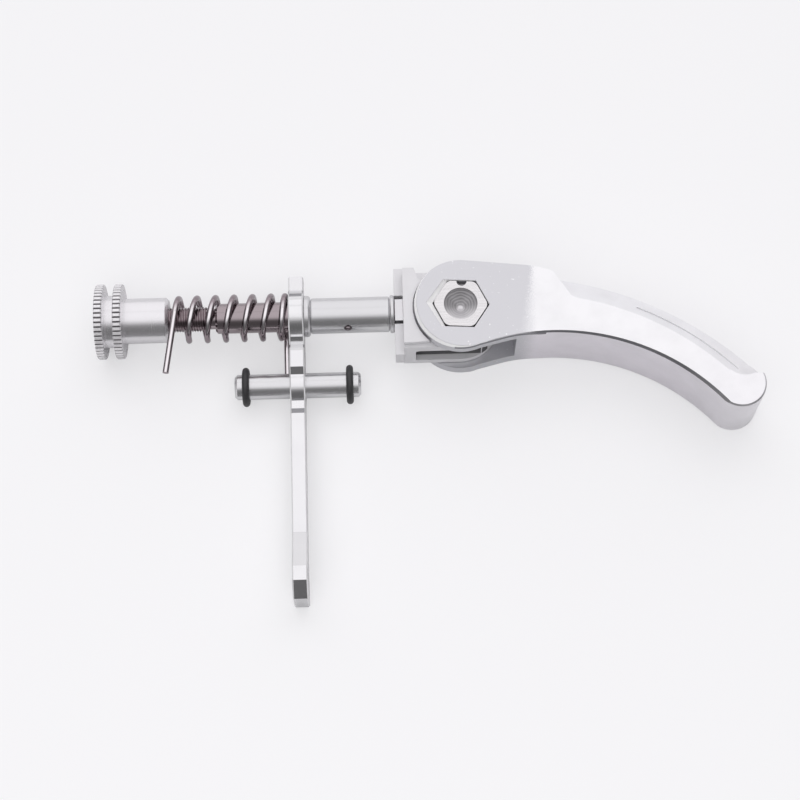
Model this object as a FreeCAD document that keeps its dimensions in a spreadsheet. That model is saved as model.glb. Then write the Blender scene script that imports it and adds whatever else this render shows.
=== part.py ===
"""Quick release seatpost clamp with a swinging latch, lying on its side with the lever open.

The draw bolt runs along X, from the knurled adjuster nut (-X) to the cam lever (+X).
The origin is where the bolt's axis meets the clamping face of the cam housing.
The lever turns about a vertical camshaft. Its eccentric journal pulls the bolt through the housing.
"""
import FreeCAD, Part
import math
import os
import Sketcher
from FreeCAD import Rotation, Vector

DIMENSIONS = {
    # Fits
    "seat_gap": 0.05,
    "run_gap": 0.05,
    "cheek_gap": 0.25,
    "head_gap": 0.3,
    # Cam housing
    "plate_thick": 1.7,
    "plate_back": 8.75,
    "plate_front": 9.5,
    "plate_tall": 4.6,
    "housing_tall": 11.6,
    "body_back": 7.5,
    "body_front": 8.3,
    "body_end": 4.0,
    "horn_back_angle": 143.0,
    "horn_front_angle": 228.0,
    "tongue_tall": 8.8,
    "tongue_radius": 7.9,
    "chamber_tall": 5.8,
    "chamber_start": 4.0,
    "chamber_end": 18.4,
    "front_wall": 1.2,
    "window_top": 2.3,
    "window_bottom": 2.8,
    "window_corner": 0.8,
    "window_end": 17.0,
    "notch_wide": 6.0,
    # Camshaft
    "cam_x": 13.0,
    "cam_y": -1.02,
    "cam_throw": 0.7,
    "hex_flats": 9.4,
    "hex_corner": 1.5,
    "hex_gap": 0.12,
    "hole_bevel": 0.7,
    "hole_bevel_left": 1.1,
    "hole_bevel_side": 0.75,
    "hole_bevel_rim": 0.12,
    "hex_below": 0.1,
    "top_bearing": 8.0,
    "journal": 5.6,
    "low_bearing": 5.0,
    "dimple": 6.6,
    "dimple_wall": 0.5,
    "dimple_cone": 1.95,
    "index_notch": 2.0,
    "index_notch_deep": 1.4,
    "index_notch_angle": 86.0,
    # Screw that holds the camshaft
    "screw_core": 3.0,
    "screw_head": 8.0,
    "screw_head_tall": 1.3,
    "screw_grip": 2.6,
    "screw_key": 2.5,
    # Lever
    "lever_thick": 15.0,
    "head_radius": 9.15,
    "slot_reach": 10.8,
    "head_top_angle": 86.0,
    "head_low_angle": 292.0,
    "shoulder_x": 13.0,
    "shoulder_y": 7.75,
    "shoulder_radius": 22.0,
    "back_start_x": 20.778,
    "back_start_y": 5.231,
    "back_radius": 69.4,
    "back_start": 78.6,
    "back_end": 45.2,
    "tip_fullness": 0.506,
    "front_start_x": 15.178,
    "front_start_y": -6.6,
    "front_radius": 43.42,
    "front_start": 93.0,
    "front_end": 40.9,
    "neck_x": 8.6,
    "neck_y": -7.2,
    "facet_centre_x": 10.84,
    "facet_centre_y": -54.95,
    "facet_radius": 56.74,
    "facet_slope": 1.44,
    "facet_start_x": 22.2,
    "facet_end_x": 51.8,
    "facet_end_y": -15.3,
    "panel_start_x": 33.6,
    "panel_end_x": 53.6,
    "panel_inset": 1.5,
    "panel_wide": 0.5,
    "panel_depth": 0.45,
    "edge_shift_x": 0.3,
    "edge_shift_y": 0.1,
    "edge_bevel": 0.25,
    "edge_deep": 2.0,
    "tip_bevel": 0.3,
    "rim_shift_x": 0.5,
    "rim_shift_y": 0.3,
    "rim_clear": 0.03,
    # Draw bolt and its follower
    "thread_core": 4.5,
    "thread_length": 20.0,
    "undercut": 4.1,
    "undercut_length": 1.4,
    "shank": 6.0,
    "shank_length": 35.6,
    "square_neck": 4.5,
    "bolt_chamfer": 0.4,
    "follower_start": 4.7,
    "follower_step": 8.4,
    "follower_end": 17.0,
    "follower_neck": 6.8,
    "follower_wide": 12.4,
    "follower_tall": 5.5,
    # Sleeve and washers on the bolt
    "end_washer_thick": 0.85,
    "end_washer_wide": 7.6,
    "sleeve_length": 15.8,
    "sleeve_wide": 7.1,
    "sleeve_chamfer": 0.3,
    "oil_hole": 1.6,
    "oil_hole_x": -9.3,
    "oil_hole_lift": 23.0,
    "latch_washer_thick": 1.2,
    "latch_washer_wide": 8.2,
    "latch_washer_chamfer": 0.35,
    # Latch
    "latch_thick": 3.0,
    "latch_eye": 5.4,
    "latch_boss": 4.4,
    "latch_low": -7.45,
    "tab_end": 8.0,
    "tab_top": 1.6,
    "tab_bottom": -1.9,
    "pin_y": -13.6,
    "pin_z": -3.0,
    "bump_top": 2.3,
    "bump_start": -8.0,
    "bump_end": -11.4,
    "valley_y": -6.2,
    "valley_z": 0.9,
    "arm_start": -20.2,
    "arm_top": -0.2,
    "arm_bottom": -5.0,
    "hook_start": -44.3,
    "hook_start_z": -0.7,
    "hook_crest_start": -51.8,
    "hook_crest_end": -54.6,
    "hook_crest": 2.3,
    "hook_nose": -57.6,
    "hook_nose_z": -0.6,
    "hook_heel": -53.4,
    "hook_throat": -51.6,
    "latch_edge": 0.25,
    # Cross pin and its rubber rings
    "pin": 5.0,
    "pin_length": 25.0,
    "pin_chamfer": 0.5,
    "ring_section": 1.4,
    "ring_offset": 10.3,
    # Return spring
    "wire": 1.2,
    "coil_wide": 9.6,
    "coil_pitch": 3.62,
    "coil_turns": 6,
    "free_leg": 12.8,
    "free_leg_lead": 1.15,
    "hook_leg": 15.0,
    "hook_leg_slope": 8.5,
    # Adjuster nut
    "nut_clear": 0.85,
    "nut_bore": 5.1,
    "nut_sleeve": 9.0,
    "nut_sleeve_length": 9.0,
    "flange": 15.0,
    "flange_thick": 1.6,
    "groove": 10.4,
    "groove_long": 2.1,
    "flange_chamfer": 0.2,
    "nut_chamfer": 0.55,
    "knurl_teeth": 50,
    "knurl_deep": 0.35,
}

doc = FreeCAD.newDocument("quick_release_clamp")
sheet = doc.addObject("Spreadsheet::Sheet", "dims")
for row, (alias, value) in enumerate(DIMENSIONS.items(), start=1):
    sheet.set(f"A{row}", str(value))
    sheet.setAlias(f"A{row}", alias)
doc.recompute()


class Size:
    """A length or an angle: its value now, and the sheet formula that keeps it current."""

    def __init__(self, value, formula):
        self.value = value
        self.formula = formula

    def __add__(self, other):
        other = as_size(other)
        return Size(self.value + other.value, f"({self.formula} + {other.formula})")

    def __sub__(self, other):
        other = as_size(other)
        return Size(self.value - other.value, f"({self.formula} - {other.formula})")

    def __mul__(self, other):
        other = as_size(other)
        return Size(self.value * other.value, f"({self.formula} * {other.formula})")

    def __truediv__(self, other):
        other = as_size(other)
        return Size(self.value / other.value, f"({self.formula} / {other.formula})")

    def __neg__(self):
        return Size(-self.value, f"(0 - {self.formula})")


def as_size(number):
    if isinstance(number, Size):
        return number
    return Size(float(number), f"({float(number):.9f})")


def dim(alias):
    return Size(float(sheet.get(alias)), f"dims.{alias}")


def polar(centre, radius, angle):
    """The point at an angle, in degrees, on a circle."""
    centre_x, centre_y = as_size(centre[0]), as_size(centre[1])
    radius, angle = as_size(radius), as_size(angle)
    turn = math.radians(angle.value)
    across = Size(math.cos(turn), f"cos({angle.formula})")
    along = Size(math.sin(turn), f"sin({angle.formula})")
    return centre_x + radius * across, centre_y + radius * along


def span(start, end):
    """The straight distance between two points."""
    across = as_size(end[0]) - start[0]
    along = as_size(end[1]) - start[1]
    square = across * across + along * along
    return Size(math.sqrt(square.value), f"sqrt({square.formula})")


def bind(thing, path, size):
    thing.setExpression(path, as_size(size).formula)


def place(thing, x=0, y=0, z=0):
    """Tie an object's position to the sheet."""
    for axis, size in zip("xyz", (x, y, z)):
        bind(thing, f"Placement.Base.{axis}", size)


def new_body(label):
    body = doc.addObject("PartDesign::Body", label)
    body.Label = label
    return body


def new_sketch(body, plane, name, offset=None):
    """A sketch on one of the body's own planes, moved along the plane's normal by the offset."""
    sketch = body.newObject("Sketcher::SketchObject", name)
    support = [f for f in body.Origin.OriginFeatures if f.Role == plane][0]
    sketch.AttachmentSupport = (support, [""])
    sketch.MapMode = "FlatFace"
    if offset is not None:
        bind(sketch, "AttachmentOffset.Base.z", offset)
    return sketch


def pin_point(sketch, geometry, end, point):
    """Hold one end of a sketch line or arc at a point of the sheet."""
    for kind, size in zip(("DistanceX", "DistanceY"), point):
        size = as_size(size)
        index = sketch.addConstraint(Sketcher.Constraint(kind, -1, 1, geometry, end, size.value))
        bind(sketch, f"Constraints[{index}]", size)


def arc_middle(start, end, radius, turn, large):
    """The middle of the arc from start to end; turn is 1 for anticlockwise and -1 for clockwise."""
    chord = end - start
    half = chord.Length / 2
    left = Vector(-chord.y, chord.x, 0).normalize() * turn
    rise = math.sqrt(max(radius**2 - half**2, 0))
    centre = (start + end) / 2 + left * (-rise if large else rise)
    return centre - left * radius


def draw_outline(sketch, corners):
    """A closed outline. A corner is (x, y), or (x, y, radius, turn, large) where an arc leaves it."""
    points = [Vector(as_size(c[0]).value, as_size(c[1]).value, 0) for c in corners]
    ends = []
    for index, corner in enumerate(corners):
        start = points[index]
        end = points[(index + 1) % len(points)]
        if len(corner) == 2:
            geometry = sketch.addGeometry(Part.LineSegment(start, end), False)
            ends.append((geometry, 1, 2))
            continue
        radius, turn, large = as_size(corner[2]), corner[3], corner[4]
        middle = arc_middle(start, end, radius.value, turn, large)
        if turn > 0:
            geometry = sketch.addGeometry(Part.Arc(start, middle, end), False)
            ends.append((geometry, 1, 2))
        else:
            geometry = sketch.addGeometry(Part.Arc(end, middle, start), False)
            ends.append((geometry, 2, 1))
    for index, (geometry, first, last) in enumerate(ends):
        following, following_first, _ = ends[(index + 1) % len(ends)]
        sketch.addConstraint(
            Sketcher.Constraint("Coincident", geometry, last, following, following_first)
        )
        pin_point(sketch, geometry, first, corners[index])
    for index, corner in enumerate(corners):
        if len(corner) > 2:
            radius = as_size(corner[2])
            constraint = sketch.addConstraint(
                Sketcher.Constraint("Radius", ends[index][0], radius.value)
            )
            bind(sketch, f"Constraints[{constraint}]", radius)


def draw_circle(sketch, x, y, diameter):
    x, y, radius = as_size(x), as_size(y), as_size(diameter) / 2
    circle = Part.Circle(Vector(x.value, y.value, 0), Vector(0, 0, 1), radius.value)
    geometry = sketch.addGeometry(circle, False)
    pin_point(sketch, geometry, 3, (x, y))
    constraint = sketch.addConstraint(Sketcher.Constraint("Radius", geometry, radius.value))
    bind(sketch, f"Constraints[{constraint}]", radius)


def extrude(body, kind, sketch, name, length, side="Symmetric", reverse=False):
    """A Pad or a Pocket of a sketch."""
    feature = body.newObject(f"PartDesign::{kind}", name)
    feature.Profile = sketch
    feature.SideType = side
    feature.Reversed = reverse
    bind(feature, "Length", length)
    doc.recompute()
    return feature


def turned(label, profile, plane="XY_Plane", axis="H_Axis"):
    """A turned piece: a closed half profile, spun about the sketch's own axis."""
    body = new_body(label)
    sketch = new_sketch(body, plane, f"{label}_profile")
    draw_outline(sketch, profile)
    feature = body.newObject("PartDesign::Revolution", f"{label}_turned")
    feature.Profile = sketch
    feature.ReferenceAxis = (sketch, [axis])
    feature.Angle = 360
    doc.recompute()
    return body


def hexagon(flats, turn=0.0):
    """Six corners around the sketch's origin, with flats across Y."""
    radius = as_size(flats) / math.sqrt(3)
    return [polar((0, 0), radius, 60.0 * index + turn) for index in range(6)]


def upright_edges(shape, reach):
    """The vertical edges of a prism that lie within a reach of its axis."""
    names = []
    for index, edge in enumerate(shape.Edges, start=1):
        low, high = edge.Vertexes[0].Point, edge.Vertexes[-1].Point
        level = math.hypot(low.x - high.x, low.y - high.y) < 1e-6
        if level and abs(low.z - high.z) > 0.1 and math.hypot(low.x, low.y) < reach:
            names.append(f"Edge{index}")
    return names


def break_edges(body, pad, name, edges, size):
    """Chamfer along the named edges or faces of a pad."""
    chamfer = body.newObject("PartDesign::Chamfer", name)
    chamfer.Base = (pad, edges)
    bind(chamfer, "Size", size)
    doc.recompute()


def combine(kind, label, base, tool):
    """A boolean of two objects of the document."""
    feature = doc.addObject(f"Part::{kind}", label)
    feature.Label = label
    feature.Base = base
    feature.Tool = tool
    doc.recompute()
    return feature


# Places that several pieces share
seat_gap, run_gap = dim("seat_gap"), dim("run_gap")
cam_x, cam_y, throw = dim("cam_x"), dim("cam_y"), dim("cam_throw")
half_right = math.sqrt(0.5)
journal_x = cam_x - throw * half_right
journal_y = cam_y + throw * ((1 + half_right) / 2)
journal_slack = throw * ((1 - half_right) / 2) + 0.08
lever_top = dim("lever_thick") / 2
slot_half = dim("tongue_tall") / 2 + dim("cheek_gap")
bolt_bore = dim("shank") + run_gap * 2
back_centre = polar((dim("back_start_x"), dim("back_start_y")), -dim("back_radius"), dim("back_start"))
front_centre = polar((dim("front_start_x"), dim("front_start_y")), -dim("front_radius"), dim("front_start"))

end_washer_right = -seat_gap
end_washer_left = end_washer_right - dim("end_washer_thick")
sleeve_right = end_washer_left - seat_gap
sleeve_left = sleeve_right - dim("sleeve_length")
latch_washer_right = sleeve_left - seat_gap
latch_washer_left = latch_washer_right - dim("latch_washer_thick")
latch_right = latch_washer_left - seat_gap
latch_left = latch_right - dim("latch_thick")
latch_middle = latch_left + dim("latch_thick") / 2
coil_right = latch_left - seat_gap - dim("wire") / 2
coil_left = coil_right - dim("coil_pitch") * dim("coil_turns")
nut_right = coil_left - dim("wire") / 2 - dim("nut_clear")


def make_cam_housing():
    """Clamping plate, cupped body and tongue, machined from one bar."""
    label = "cam_housing"
    body = new_body(label)
    half_tall = dim("housing_tall") / 2
    plate = dim("plate_thick")
    back, front = dim("body_back"), -dim("body_front")
    seat = dim("head_radius") + dim("head_gap")
    horn_back = polar((cam_x, cam_y), seat, dim("horn_back_angle"))
    horn_front = polar((cam_x, cam_y), seat, dim("horn_front_angle"))
    corner = dim("body_end")
    cup = new_sketch(body, "XY_Plane", "cup_outline")
    draw_outline(cup, [
        (plate, front),
        (corner - 0.9, front),
        (corner + 1.0, horn_front[1] - 0.15),
        (*horn_front, seat, -1, False),
        horn_back,
        (corner + 0.7, horn_back[1] + 0.6),
        (corner, back),
        (plate, back),
    ])
    extrude(body, "Pad", cup, "cup", dim("housing_tall"))

    ears = new_sketch(body, "XY_Plane", "plate_outline")
    draw_outline(ears, [
        (0, -dim("plate_front")),
        (plate, -dim("plate_front")),
        (plate * 1.5, front / 2),
        (plate * 1.5, back / 2),
        (plate, dim("plate_back")),
        (0, dim("plate_back")),
    ])
    extrude(body, "Pad", ears, "plate", dim("plate_tall"))

    reach = dim("tongue_radius")
    tongue = new_sketch(body, "XY_Plane", "tongue_outline")
    draw_outline(tongue, [
        (plate, cam_y - reach),
        (cam_x, cam_y - reach, reach, 1, False),
        (cam_x + reach, cam_y, reach, 1, False),
        (cam_x, cam_y + reach),
        (plate, cam_y + reach),
    ])
    extrude(body, "Pad", tongue, "tongue", dim("tongue_tall"))

    inner_front = cam_y - reach + dim("front_wall")
    chamber = new_sketch(body, "XY_Plane", "chamber_outline")
    draw_outline(chamber, [
        (dim("chamber_start"), inner_front),
        (dim("chamber_end"), inner_front),
        (dim("chamber_end"), cam_y + reach * 2),
        (dim("chamber_start"), cam_y + reach * 2),
    ])
    extrude(body, "Pocket", chamber, "chamber", dim("chamber_tall"))

    window = new_sketch(body, "XZ_Plane", "window_outline", -(cam_y - reach + dim("front_wall") / 2))
    corner_round = dim("window_corner")
    draw_outline(window, [
        (dim("chamber_start"), -dim("window_bottom")),
        (dim("window_end"), -dim("window_bottom")),
        (dim("window_end"), dim("window_top")),
        (dim("chamber_start") + corner_round, dim("window_top"), corner_round, 1, False),
        (dim("chamber_start"), dim("window_top") - corner_round),
    ])
    extrude(body, "Pocket", window, "window", dim("front_wall") * 3)

    bores = new_sketch(body, "XY_Plane", "top_bearing_outline", half_tall)
    draw_circle(bores, cam_x, cam_y, dim("top_bearing") + run_gap * 2)
    extrude(body, "Pocket", bores, "top_bearing_bore", half_tall * 2)
    low = new_sketch(body, "XY_Plane", "low_bearing_outline", -half_tall)
    draw_circle(low, cam_x, cam_y, dim("low_bearing") + run_gap * 2)
    extrude(body, "Pocket", low, "low_bearing_bore", half_tall * 2)

    bolt_hole = new_sketch(body, "YZ_Plane", "bolt_hole_outline")
    draw_circle(bolt_hole, 0, 0, dim("square_neck") * math.sqrt(2) + run_gap * 2)
    extrude(body, "Pocket", bolt_hole, "bolt_hole", dim("chamber_start") * 2 + 1)

    notch = new_sketch(body, "YZ_Plane", "notch_outline")
    half_notch = dim("notch_wide") / 2
    draw_outline(notch, [
        (-half_notch, -dim("plate_tall")),
        (half_notch, -dim("plate_tall")),
        (half_notch, dim("plate_tall")),
        (-half_notch, dim("plate_tall")),
    ])
    extrude(body, "Pocket", notch, "notch", plate * 2)
    return body


def make_camshaft():
    """Stepped cam pin: keyed hexagon, bearing, eccentric journal, lower bearing."""
    label = "camshaft"
    body = new_body(label)
    place(body, cam_x, cam_y, 0)
    hex_top = lever_top - dim("hex_below")
    tongue_top = dim("tongue_tall") / 2
    chamber_top = dim("chamber_tall") / 2
    hex_low = tongue_top + seat_gap
    screw_seat = -(lever_top - dim("screw_head_tall") - 0.1)
    journal_low = -chamber_top + seat_gap

    head = new_sketch(body, "XY_Plane", "hexagon_outline", hex_low)
    draw_outline(head, hexagon(dim("hex_flats"), -4.0))
    pad = extrude(body, "Pad", head, "hexagon", hex_top - hex_low, "One side")
    fillet = body.newObject("PartDesign::Fillet", "hexagon_corners")
    fillet.Base = (pad, upright_edges(pad.Shape, 20))
    bind(fillet, "Radius", dim("hex_corner"))
    doc.recompute()

    steps = (
        ("bearing", 0, 0, dim("top_bearing"), chamber_top, hex_low),
        ("journal", -(throw * half_right), throw * half_right, dim("journal"), journal_low, chamber_top),
        ("low_bearing", 0, 0, dim("low_bearing"), screw_seat, journal_low),
    )
    for name, x, y, wide, start, end in steps:
        step = new_sketch(body, "XY_Plane", f"{name}_outline", start)
        draw_circle(step, x, y, wide)
        extrude(body, "Pad", step, f"{name}_step", as_size(end) - start, "One side")

    dimple = new_sketch(body, "XZ_Plane", "dimple_profile")
    wall = hex_top - dim("dimple_wall")
    draw_outline(dimple, [
        (0, hex_top + 0.5),
        (0, wall - dim("dimple_cone")),
        (dim("dimple") / 2, wall),
        (dim("dimple") / 2, hex_top + 0.5),
    ])
    groove = body.newObject("PartDesign::Groove", "dimple")
    groove.Profile = dimple
    groove.ReferenceAxis = (dimple, ["V_Axis"])
    groove.Angle = 360
    doc.recompute()

    index = new_sketch(body, "XY_Plane", "index_notch_outline", hex_top)
    flat_middle = polar((0, 0), dim("hex_flats") / 2, dim("index_notch_angle"))
    draw_circle(index, *flat_middle, dim("index_notch"))
    extrude(body, "Pocket", index, "index_notch", dim("index_notch_deep") * 2)

    screw_hole = new_sketch(body, "XY_Plane", "screw_hole_outline", screw_seat)
    draw_circle(screw_hole, 0, 0, dim("screw_core") + run_gap)
    extrude(body, "Pocket", screw_hole, "screw_hole", dim("screw_grip") * 2 + 0.4)
    return body


def make_retaining_screw():
    """Low-headed screw that keeps the camshaft in the lever, from below."""
    low = -(lever_top - 0.1)
    seat = low + dim("screw_head_tall")
    core, head = dim("screw_core") / 2, dim("screw_head") / 2
    body = turned("retaining_screw", [
        (0, low),
        (head - 0.3, low),
        (head, low + 0.3),
        (head, seat - seat_gap),
        (core, seat - seat_gap),
        (core, seat + dim("screw_grip") - 0.2),
        (0, seat + dim("screw_grip") - 0.2),
    ], "XZ_Plane", "V_Axis")
    place(body, cam_x, cam_y, 0)
    key = new_sketch(body, "XY_Plane", "key_outline", low)
    draw_outline(key, hexagon(dim("screw_key")))
    extrude(body, "Pocket", key, "key_socket", dim("screw_head_tall") * 1.4)
    return body


def upright_cone(name, centre, low_radius, high_radius, low, height):
    """A cone with a vertical axis, placed in the camshaft's frame."""
    cone = doc.addObject("Part::Cone", name)
    bind(cone, "Radius1", low_radius)
    bind(cone, "Radius2", high_radius)
    bind(cone, "Height", height)
    place(cone, cam_x + centre[0], cam_y + centre[1], low)
    return cone


def lever_block(name, corners, tall):
    """A prism on the lever's middle plane, outlined in the camshaft's frame."""
    body = new_body(name)
    place(body, cam_x, cam_y, 0)
    sketch = new_sketch(body, "XY_Plane", f"{name}_outline")
    draw_outline(sketch, corners)
    extrude(body, "Pad", sketch, f"{name}_pad", tall)
    return body


def make_lever_blank():
    """The forged outline with the fork slot, the keyed hole and the screw's seat."""
    head = dim("head_radius")
    back_start = (dim("back_start_x"), dim("back_start_y"))
    back_end = polar(back_centre, dim("back_radius"), dim("back_end"))
    front_start = (dim("front_start_x"), dim("front_start_y"))
    front_end = polar(front_centre, dim("front_radius"), dim("front_end"))
    head_top = polar((0, 0), head, dim("head_top_angle"))
    head_low = polar((0, 0), head, dim("head_low_angle"))
    body = lever_block("lever_blank", [
        (*head_top, head, 1, True),
        head_low,
        (dim("neck_x"), dim("neck_y"), dim("shoulder_radius"), -1, False),
        (*front_start, dim("front_radius"), -1, False),
        (*front_end, span(front_end, back_end) * dim("tip_fullness"), 1, True),
        (*back_end, dim("back_radius"), 1, False),
        (*back_start, dim("shoulder_radius"), 1, False),
        (dim("shoulder_x"), dim("shoulder_y")),
    ], dim("lever_thick"))

    slot = new_sketch(body, "XY_Plane", "slot_outline")
    draw_outline(slot, [
        (-(head * 2), -(head * 2)),
        (dim("slot_reach"), -(head * 2)),
        (dim("slot_reach"), head * 2),
        (-(head * 2), head * 2),
    ])
    extrude(body, "Pocket", slot, "fork_slot", slot_half * 2)

    keyed = new_sketch(body, "XY_Plane", "keyed_outline", lever_top)
    draw_outline(keyed, hexagon(dim("hex_flats") + dim("hex_gap") * 2, -4.0))
    extrude(body, "Pocket", keyed, "keyed_hole", dim("lever_thick"))
    bevel = dim("hole_bevel")
    hole_flats = dim("hex_flats") + dim("hex_gap") * 2
    bevel_low = new_sketch(body, "XY_Plane", "hole_bevel_low", lever_top - bevel)
    draw_outline(bevel_low, hexagon(hole_flats, -4.0))
    bevel_top = new_sketch(body, "XY_Plane", "hole_bevel_top", lever_top)
    rim = hexagon(hole_flats + dim("hole_bevel_rim") * 2, -4.0)
    rim[2] = (rim[2][0] - dim("hole_bevel_side"), rim[2][1])
    rim[3] = (rim[3][0] - dim("hole_bevel_left"), rim[3][1])
    rim[4] = (rim[4][0] - dim("hole_bevel_side"), rim[4][1])
    draw_outline(bevel_top, rim)
    loft = body.newObject("PartDesign::SubtractiveLoft", "hole_bevel")
    loft.Profile = bevel_low
    loft.Sections = [bevel_top]
    loft.Ruled = True
    doc.recompute()

    pivot = new_sketch(body, "XY_Plane", "pivot_outline", -lever_top)
    draw_circle(pivot, 0, 0, dim("low_bearing") + seat_gap * 2)
    extrude(body, "Pocket", pivot, "pivot_hole", dim("lever_thick"))
    seat = new_sketch(body, "XY_Plane", "screw_seat_outline", -lever_top)
    draw_circle(seat, 0, 0, dim("screw_head") + seat_gap * 4)
    extrude(body, "Pocket", seat, "screw_seat", (dim("screw_head_tall") + 0.1) * 2)
    return body


def twin_cones(name, centre, edge, slope):
    """Two cones, base to base, whose slopes cut the lever's upper and lower edges."""
    middle = as_size(edge) + as_size(slope) * lever_top
    upper = upright_cone(f"{name}_upper", centre, middle, edge, 0, lever_top)
    lower = upright_cone(f"{name}_lower", centre, edge, middle, -lever_top, lever_top)
    return combine("Fuse", name, upper, lower)


def make_lever():
    """Lever with a facetted, panelled back and a bevel along the front edges."""
    blank = make_lever_blank()
    start, end = dim("facet_start_x"), dim("facet_end_x")
    far = dim("head_radius") + 4
    zone = lever_block("facet_zone", [
        (start - 8.2, far),
        (start - 0.4, 1.1),
        (start + 2.4, -0.6),
        (start + 2.4, -6.0),
        (end - 2.4, dim("facet_end_y") - 2.6),
        (end, dim("facet_end_y"), 4.2, 1, False),
        (end + 4.6, dim("facet_end_y") - 0.9),
        (end + 12, dim("facet_end_y") - 1.0),
        (end + 12, far),
    ], dim("lever_thick") + 1)
    facet_centre = (dim("facet_centre_x"), dim("facet_centre_y"))
    slope = dim("facet_slope")
    facet_cones = twin_cones("facet_cones", facet_centre, dim("facet_radius"), slope)
    facets = combine("Cut", "facet_cutter", zone, facet_cones)
    facetted = combine("Cut", "facetted_lever", blank, facets)

    panel_start, panel_end = dim("panel_start_x"), dim("panel_end_x")
    panel_zone = lever_block("panel_zone", [
        (panel_start, -4.6),
        (panel_start + 3.4, 6.0),
        (panel_end + 6.0, -6.0),
        (panel_end, -14.9),
    ], dim("lever_thick") + 1)
    inner = dim("facet_radius") + dim("panel_inset")
    outer = inner + dim("panel_wide")
    tall = dim("lever_thick") + 2
    low = -(tall / 2)
    panel_outer = upright_cone("panel_outer", facet_centre, outer, outer + 0.001, low, tall)
    panel_inner = upright_cone("panel_inner", facet_centre, inner, inner + 0.001, low, tall)
    panel_ring = combine("Cut", "panel_ring", panel_outer, panel_inner)
    panel_line = combine("Common", "panel_line", panel_ring, panel_zone)
    panel_edge = dim("facet_radius") - dim("panel_depth") * math.sqrt(2)
    panel_cones = twin_cones("panel_cones", facet_centre, panel_edge, slope)
    panel = combine("Cut", "panel_cutter", panel_line, panel_cones)
    panelled = combine("Cut", "panelled_lever", facetted, panel)

    bevel_centre = (front_centre[0] + dim("edge_shift_x"), front_centre[1] + dim("edge_shift_y"))
    bevel_edge = dim("front_radius") + dim("edge_bevel")
    deep = dim("edge_deep")
    upper = upright_cone("upper_bevel", bevel_centre, bevel_edge - deep, bevel_edge, lever_top - deep, deep)
    lower = upright_cone("lower_bevel", bevel_centre, bevel_edge, bevel_edge - deep, -lever_top, deep)
    bevels = combine("Fuse", "front_bevels", upper, lower)
    bevelled = combine("Cut", "bevelled_lever", panelled, bevels)

    head = dim("head_radius")
    tip_start = polar(front_centre, dim("front_radius"), dim("front_end"))
    tip_end = polar(back_centre, dim("back_radius"), dim("back_end"))
    tip_zone = lever_block("tip_zone", [
        tip_start,
        (tip_start[0], tip_start[1] - head),
        (tip_end[0] + head, tip_start[1] - head),
        (tip_end[0] + head, tip_end[1]),
        tip_end,
    ], dim("lever_thick") + 1)
    full = dim("tip_fullness")
    rise = Size(math.sqrt(full.value**2 - 0.25), f"sqrt({full.formula}^2 - 0.25)")
    tip_centre = (
        (tip_start[0] + tip_end[0]) / 2 + (tip_end[1] - tip_start[1]) * rise,
        (tip_start[1] + tip_end[1]) / 2 - (tip_end[0] - tip_start[0]) * rise,
    )
    tip_edge = span(tip_start, tip_end) * full - dim("tip_bevel")
    tip = combine("Cut", "tip_cutter", tip_zone, twin_cones("tip_cones", tip_centre, tip_edge, 1))
    tipped = combine("Cut", "tipped_lever", bevelled, tip)

    rim_zone = lever_block("rim_zone", [
        (-(head * 2), -(head * 2)),
        (head * 0.37, -(head * 2)),
        (0, 0),
        (head * 0.07, head * 2),
        (-(head * 2), head * 2),
    ], dim("lever_thick") + 1)
    rim_centre = (dim("rim_shift_x"), dim("rim_shift_y"))
    rim_cones = twin_cones("rim_cones", rim_centre, head + dim("rim_clear"), 1)
    rim = combine("Cut", "rim_cutter", rim_zone, rim_cones)
    return combine("Cut", "lever", tipped, rim)


def make_draw_bolt():
    """Threaded end, undercut, plain shank, square neck, end screwed into the follower."""
    core, shank, neck = dim("thread_core") / 2, dim("shank") / 2, dim("square_neck") / 2
    chamfer = dim("bolt_chamfer")
    shank_left = -dim("shank_length")
    thread_right = shank_left - dim("undercut_length")
    thread_left = thread_right - dim("thread_length")
    follower_bore = dim("journal") / 2 + journal_slack
    tip = journal_x - follower_bore - 0.3
    body = turned("draw_bolt", [
        (thread_left, 0),
        (tip, 0),
        (tip, neck - chamfer),
        (tip - chamfer, neck),
        (seat_gap, neck),
        (seat_gap, shank - chamfer),
        (seat_gap - chamfer, shank),
        (shank_left + chamfer, shank),
        (shank_left, shank - chamfer),
        (shank_left, dim("undercut") / 2),
        (thread_right, dim("undercut") / 2),
        (thread_right - chamfer / 2, core),
        (thread_left + chamfer, core),
        (thread_left, core - chamfer),
    ])
    square = new_sketch(body, "YZ_Plane", "square_outline", seat_gap * 2)
    draw_outline(square, [(-neck, -neck), (neck, -neck), (neck, neck), (-neck, neck)])
    extrude(body, "Pad", square, "square_neck", dim("plate_thick") - seat_gap * 2, "One side")
    return body


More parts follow.
